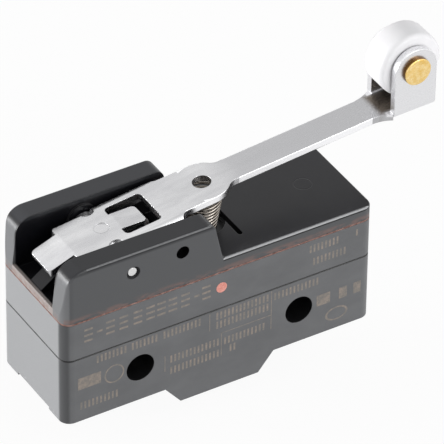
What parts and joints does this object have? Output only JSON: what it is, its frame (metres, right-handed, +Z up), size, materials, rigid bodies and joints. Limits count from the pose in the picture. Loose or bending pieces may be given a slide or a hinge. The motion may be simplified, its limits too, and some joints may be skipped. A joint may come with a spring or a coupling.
{
  "type": "lever micro switch",
  "caption": "Snap-action lever switch: moulded case with side mounting holes, hinged stainless lever with a fork and roller, conical return spring and screw terminals below.",
  "frame": {"origin": "midway between the axes of the two mounting holes, at the middle of the body's width", "axes": "+X along the body towards the roller, +Y along the mounting holes towards the back face, +Z up towards the lever"},
  "size_m": [0.0637, 0.0174, 0.0468],
  "materials": {
    "case_phenolic": "moulded phenolic, matt, mid grey",
    "housing_plastic": "moulded, fine texture, near black",
    "seal_rubber": "thin red-brown seal, matt",
    "stainless_sheet": "rolled stainless sheet, satin",
    "pin_steel": "ground steel",
    "spring_steel": "drawn spring wire, bright",
    "roller_nylon": "moulded nylon, soft gloss, white",
    "rivet_brass": "turned brass, worked head",
    "plunger_plastic": "moulded, smooth",
    "blade_copper": "rolled copper alloy strip",
    "contact_silver": "silver contact face",
    "terminal_brass": "stamped brass strip",
    "screw_steel": "zinc plated steel"
  },
  "bodies": {
    "case": {"base_case": "case_phenolic", "cover": "case_phenolic", "seal_gasket": "seal_rubber", "actuator_housing": "housing_plastic", "pivot_pin": "pin_steel", "return_spring": "spring_steel", "blade_anchor": "terminal_brass", "anchor_rivet": "terminal_brass", "com_terminal": "terminal_brass", "nc_terminal": "terminal_brass", "no_terminal": "terminal_brass", "nc_contact": "contact_silver", "no_contact": "contact_silver", "terminal_screw_com": "screw_steel", "terminal_screw_nc": "screw_steel", "terminal_screw_no": "screw_steel", "clamp_washer_com": "screw_steel", "clamp_washer_nc": "screw_steel", "clamp_washer_no": "screw_steel"},
    "lever": {"lever": "stainless_sheet", "roller_rivet": "rivet_brass"},
    "roller": {"roller": "roller_nylon"},
    "plunger": {"plunger": "plunger_plastic"},
    "contact_arm": {"snap_blade": "blade_copper", "moving_contact": "contact_silver"}
  },
  "joints": [
    {"name": "lever_hinge", "type": "hinge", "parent": "case", "child": "lever", "pos_m": [-0.0138, 0, 0.0168], "axis": [0, 1, 0], "range_deg": [0, 10], "stiffness_Nm_per_rad": 0.1, "springref_deg": -20.05, "deforming": ["return_spring"]},
    {"name": "roller_spin", "type": "hinge", "parent": "lever", "child": "roller", "pos_m": [0.03415, 0, 0.02992], "axis": [0, 1, 0], "continuous": true},
    {"name": "plunger_slide", "type": "slide", "parent": "case", "child": "plunger", "axis": [0, 0, -1], "range_m": [0, 0.0011]},
    {"name": "contact_swing", "type": "hinge", "parent": "case", "child": "contact_arm", "pos_m": [-0.0166, 0, 0.00692], "axis": [0, 1, 0], "range_deg": [0, 1], "deforming": ["snap_blade"]}
  ],
  "couplings": [
    {"joint": "plunger_slide", "follows": "lever_hinge", "m_per_rad": 0.00597},
    {"joint": "contact_swing", "follows": "lever_hinge", "ratio": 0.0938}
  ]
}
